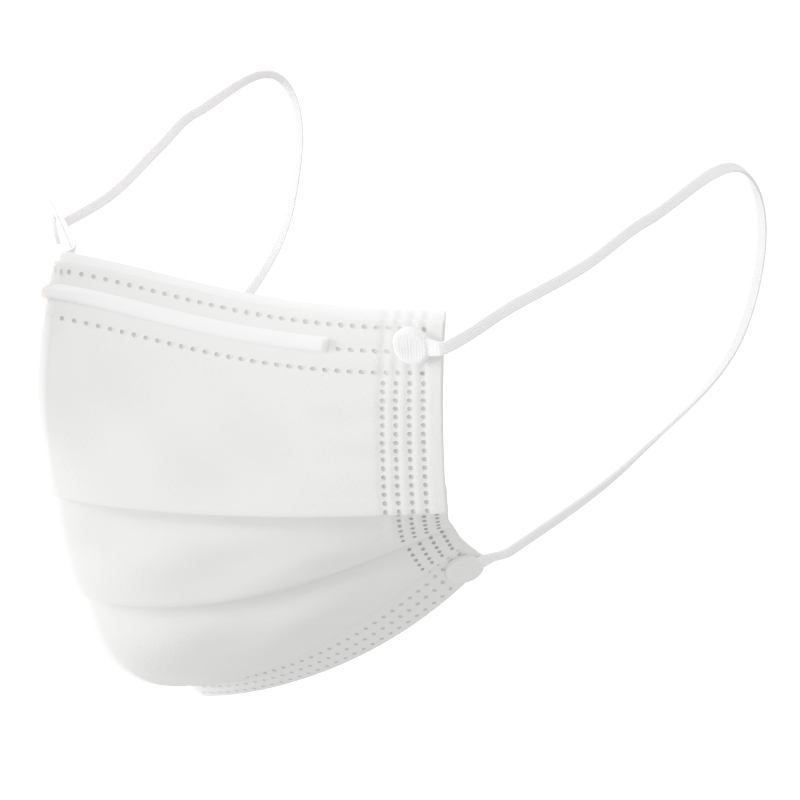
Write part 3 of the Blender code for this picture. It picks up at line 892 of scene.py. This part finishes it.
class Look:
    """A Principled material and the nodes that feed it."""

    def __init__(self, name, colour, roughness, sheen=0.0, translucency=0.0):
        self.material = bpy.data.materials.new(name)
        self.material.use_nodes = True
        self.tree = self.material.node_tree
        self.shader = self.tree.nodes["Principled BSDF"]
        self.shader.inputs["Base Color"].default_value = (*colour, 1.0)
        self.shader.inputs["Roughness"].default_value = roughness
        self.shader.inputs["Specular IOR Level"].default_value = 0.25
        self.shader.inputs["Sheen Weight"].default_value = sheen
        self.shader.inputs["Sheen Roughness"].default_value = 0.6
        self.shader.inputs["Subsurface Weight"].default_value = translucency
        self.shader.inputs["Subsurface Scale"].default_value = 0.0012
        self.colour = colour

    def node(self, kind, **values):
        """Add a node with some inputs or settings."""
        made = self.tree.nodes.new(kind)
        for key, value in values.items():
            if key in made.inputs:
                made.inputs[key].default_value = value
            else:
                setattr(made, key, value)
        return made

    def link(self, start, end):
        """Join two sockets."""
        self.tree.links.new(start, end)

    def uv(self):
        """The cloth's own coordinates, in metres along and across it."""
        return self.node("ShaderNodeTexCoord").outputs["UV"]

    def place(self):
        """The place in the part's frame, in metres."""
        return self.node("ShaderNodeTexCoord").outputs["Object"]

    def noise(self, coordinates, scale, detail=2.0, roughness=0.5):
        """A noise texture's value, scale in features per metre."""
        made = self.node("ShaderNodeTexNoise", Scale=scale, Detail=detail, Roughness=roughness)
        self.link(coordinates, made.inputs["Vector"])
        return made.outputs["Fac"]

    def stretched(self, coordinates, angle, along, across):
        """Coordinates turned by an angle and stretched, for fibres and ribs."""
        made = self.node("ShaderNodeMapping")
        made.inputs["Rotation"].default_value = (0.0, 0.0, math.radians(angle))
        made.inputs["Scale"].default_value = (1.0 / along, 1.0 / across, 1.0)
        self.link(coordinates, made.inputs["Vector"])
        return made.outputs["Vector"]

    def math(self, operation, first, second):
        """One math node."""
        made = self.node("ShaderNodeMath", operation=operation)
        for socket, value in zip(made.inputs, (first, second)):
            if isinstance(value, float):
                socket.default_value = value
            else:
                self.link(value, socket)
        return made.outputs["Value"]

    def ramp(self, value, low, high, low_colour, high_colour):
        """A colour ramp between two shades."""
        made = self.node("ShaderNodeValToRGB")
        made.color_ramp.elements[0].position = low
        made.color_ramp.elements[1].position = high
        made.color_ramp.elements[0].color = (*low_colour, 1.0)
        made.color_ramp.elements[1].color = (*high_colour, 1.0)
        self.link(value, made.inputs["Fac"])
        return made.outputs["Color"]

    def shaded(self, share):
        """The base colour, darker or lighter by a share."""
        return tuple(min(c * share, 1.0) for c in self.colour)

    def bump(self, height, distance, strength=1.0):
        """Relief that is too fine for the mesh."""
        made = self.node("ShaderNodeBump", Strength=strength, Distance=distance)
        self.link(height, made.inputs["Height"])
        self.link(made.outputs["Normal"], self.shader.inputs["Normal"])

    def tint(self, colour_output):
        """Let a colour output set the base colour."""
        self.link(colour_output, self.shader.inputs["Base Color"])


def nonwoven(name, colour, fibre_depth, mottle, sheen=0.25):
    """Spunbond cloth: stray fibres in three directions, a grid of bond points and soft mottling."""
    look = Look(name, colour, 0.86, sheen=sheen, translucency=0.15)
    uv = look.uv()
    fibres = None
    for angle in (12.0, -38.0, 74.0):
        strands = look.noise(look.stretched(uv, angle, 0.0045, 0.00022), 1.0, 3.0, 0.6)
        fibres = strands if fibres is None else look.math("MAXIMUM", fibres, strands)
    points = look.node("ShaderNodeTexVoronoi", Scale=1.0, Randomness=0.22)
    look.link(look.stretched(uv, 31.0, 0.00150, 0.00125), points.inputs["Vector"])
    pits = look.math("MINIMUM", look.math("MULTIPLY", points.outputs["Distance"], 2.6), 1.0)
    height = look.math("ADD", look.math("MULTIPLY", fibres, 0.8), look.math("MULTIPLY", pits, 0.30))
    look.bump(height, fibre_depth)
    clouds = look.noise(uv, 260.0, 4.0, 0.6)
    blend = look.math("ADD", look.math("MULTIPLY", clouds, 0.6), look.math("MULTIPLY", fibres, 0.4))
    look.tint(look.ramp(blend, 0.36, 0.66, look.shaded(1.0 - mottle), look.shaded(1.0 + mottle * 0.6)))
    return look.material


def pressed_weld(name, colour):
    """The fused core of a weld dot: darker, smoother and slightly uneven."""
    look = Look(name, colour, 0.55, translucency=0.1)
    place = look.place()
    specks = look.noise(place, 3200.0, 2.0, 0.5)
    look.tint(look.ramp(specks, 0.35, 0.65, look.shaded(0.90), look.shaded(1.08)))
    look.bump(specks, 0.00004)
    return look.material


def knitted(name, colour, pitch_across, pitch_along, depth):
    """Knitted elastic: lengthwise ribs crossed by small stitches, with a little fuzz."""
    look = Look(name, colour, 0.80, sheen=0.35, translucency=0.10)
    uv = look.uv()
    split = look.node("ShaderNodeSeparateXYZ")
    look.link(uv, split.inputs["Vector"])
    across = look.math("SINE", look.math("MULTIPLY", split.outputs["X"], 2.0 * math.pi / pitch_across), 0.0)
    shift = look.math("MULTIPLY", look.math("ABSOLUTE", across, 0.0), 1.4)
    along = look.math("MULTIPLY", split.outputs["Y"], 2.0 * math.pi / pitch_along)
    stitches = look.math("SINE", look.math("ADD", along, shift), 0.0)
    fuzz = look.noise(look.stretched(uv, 25.0, 0.0016, 0.00018), 1.0, 3.0, 0.6)
    height = look.math("ADD", look.math("MULTIPLY", stitches, 0.35), look.math("MULTIPLY", across, 0.45))
    height = look.math("ADD", height, look.math("MULTIPLY", fuzz, 0.8))
    look.bump(height, depth)
    blend = look.math("ADD", look.math("MULTIPLY", stitches, 0.22), look.math("MULTIPLY", fuzz, 0.7))
    look.tint(look.ramp(blend, 0.15, 0.60, look.shaded(0.93), look.shaded(1.03)))
    return look.material


def camera_axes():
    """The camera's right, up and back directions."""
    a, e = math.radians(CAMERA_AZIMUTH), math.radians(CAMERA_ELEVATION)
    back = Vector((math.sin(a) * math.cos(e), -math.cos(a) * math.cos(e), math.sin(e)))
    right = Vector((math.cos(a), math.sin(a), 0.0))
    up = Vector((-math.sin(a) * math.sin(e), math.cos(a) * math.sin(e), math.cos(e)))
    turn = math.radians(CAMERA_ROLL)
    level = right * math.cos(turn) + up * math.sin(turn)
    upright = up * math.cos(turn) - right * math.sin(turn)
    return level, upright, back


def add_camera():
    """The photo's camera."""
    right, up, back = camera_axes()
    data = bpy.data.cameras.new("camera")
    data.sensor_width = SENSOR_WIDTH
    data.lens = PIXELS_PER_METRE * CAMERA_DISTANCE / IMAGE_WIDTH * SENSOR_WIDTH
    data.clip_start = 0.01
    camera = bpy.data.objects.new("camera", data)
    bpy.context.scene.collection.objects.link(camera)
    turn = Matrix((right, up, back)).transposed().to_4x4()
    camera.matrix_world = Matrix.Translation(Vector(CAMERA_TARGET) + back * CAMERA_DISTANCE) @ turn
    bpy.context.scene.camera = camera


def add_light(name, azimuth, elevation, distance, size, power):
    """A soft square light aimed at the mask from a direction in degrees round it."""
    a, e = math.radians(azimuth), math.radians(elevation)
    back = Vector((math.sin(a) * math.cos(e), -math.cos(a) * math.cos(e), math.sin(e)))
    data = bpy.data.lights.new(name, "AREA")
    data.shape = "SQUARE"
    data.size = size
    data.energy = power
    light = bpy.data.objects.new(name, data)
    bpy.context.scene.collection.objects.link(light)
    place = Matrix.Translation(Vector(LIGHT_TARGET) + back * distance)
    light.matrix_world = place @ back.to_track_quat("Z", "Y").to_matrix().to_4x4()


def add_studio():
    """A white sweep all round, an even sky, a level key from the wearer's right and a light from above."""
    lines = []
    for reach, rise in SWEEP_PROFILE:
        line = []
        for k in range(SWEEP_SIDES):
            angle = k * math.pi / (SWEEP_SIDES / 2)
            line.append((reach * math.cos(angle), reach * math.sin(angle), rise - FLOOR_DROP))
        lines.append(line)
    sweep = bpy.data.objects.new("sweep", grid_mesh("sweep", np.array(lines), closed_across=True))
    bpy.context.scene.collection.objects.link(sweep)
    look = Look("studio white", (0.95, 0.95, 0.95), 0.9)
    look.shader.inputs["Emission Color"].default_value = (1.0, 1.0, 1.0, 1.0)
    look.shader.inputs["Emission Strength"].default_value = SWEEP_GLOW
    sweep.data.materials.append(look.material)
    sweep.visible_diffuse = False
    sweep.visible_glossy = False
    sweep.visible_transmission = False
    sweep.visible_shadow = False
    world = bpy.data.worlds.new("sky")
    world.use_nodes = True
    tree = world.node_tree
    place = tree.nodes.new("ShaderNodeTexCoord")
    split = tree.nodes.new("ShaderNodeSeparateXYZ")
    spread_out = tree.nodes.new("ShaderNodeMapRange")
    ramp = tree.nodes.new("ShaderNodeValToRGB")
    spread_out.inputs["From Min"].default_value = -1.0
    ramp.color_ramp.elements[0].color = (SKY_BELOW, SKY_BELOW, SKY_BELOW, 1.0)
    ramp.color_ramp.elements[1].color = (1.0, 1.0, 0.99, 1.0)
    tree.links.new(place.outputs["Generated"], split.inputs["Vector"])
    tree.links.new(split.outputs["Z"], spread_out.inputs["Value"])
    tree.links.new(spread_out.outputs["Result"], ramp.inputs["Fac"])
    tree.links.new(ramp.outputs["Color"], tree.nodes["Background"].inputs["Color"])
    tree.nodes["Background"].inputs["Strength"].default_value = SKY_STRENGTH
    bpy.context.scene.world = world
    add_light("key", -58.0, 4.0, 0.7, 0.5, KEY_POWER)
    add_light("top", 5.0, 60.0, 0.9, 0.4, TOP_POWER)


def main():
    """Build the looks of every piece."""
    add_camera()
    outer_look = nonwoven("outer nonwoven", (0.61, 0.612, 0.562), 0.00010, 0.03)
    inner_look = nonwoven("inner nonwoven", (0.95, 0.95, 0.945), 0.00006, 0.015, sheen=0.15)
    lip_look = pressed_weld("weld lip", (0.74, 0.745, 0.72))
    weld_look = pressed_weld("pressed weld", (0.15, 0.152, 0.148))
    faint_weld_look = pressed_weld("pressed weld, faint", (0.28, 0.283, 0.272))
    band_look = nonwoven("nose band cloth", (0.92, 0.92, 0.915), 0.00006, 0.015)
    pad_look = knitted("pressed knit", (0.93, 0.93, 0.92), PAD_RIB_PITCH, 0.0009, 0.00006)
    # The lower pads get a darker copy of the upper pads' knit as painted shade, because they sit in shade at
    # the lower corners
    shaded_low_pad_look = knitted("pressed knit, painted shade", (0.70, 0.702, 0.68), PAD_RIB_PITCH, 0.0009, 0.00006)
    strap_look = knitted("knitted elastic", (0.93, 0.932, 0.915), STRAP_WIDTH / STRAP_RIBS, 0.00075, 0.00007)

    outer = build_ply("outer_cloth", outer_profile, outer_look, "outer_layer")
    inner = build_ply("inner_cloth", inner_profile, inner_look, "inner_layer")
    seats = [seat(side) for seat in (upper_seat, lower_seat) for side in (-1.0, 1.0)]
    dot_looks = (lip_look, weld_look, faint_weld_look)
    outer_dots = build_dots("weld_dots_outside", outer_face, 1.0, dot_looks, seats)
    inner_dots = build_dots("weld_dots_inside", inner_face, -1.0, dot_looks, ())
    build_nose_band(band_look)
    for word, side in (("left", 1.0), ("right", -1.0)):
        build_pad("pad_upper_" + word, upper_seat(side), side, pad_look, "weld_pad_upper_" + word)
        build_pad("pad_lower_" + word, lower_seat(side), side, shaded_low_pad_look, "weld_pad_lower_" + word)
        build_strap("strap_" + word, side, strap_look, "ear_loop_" + word)
    add_studio()


main()
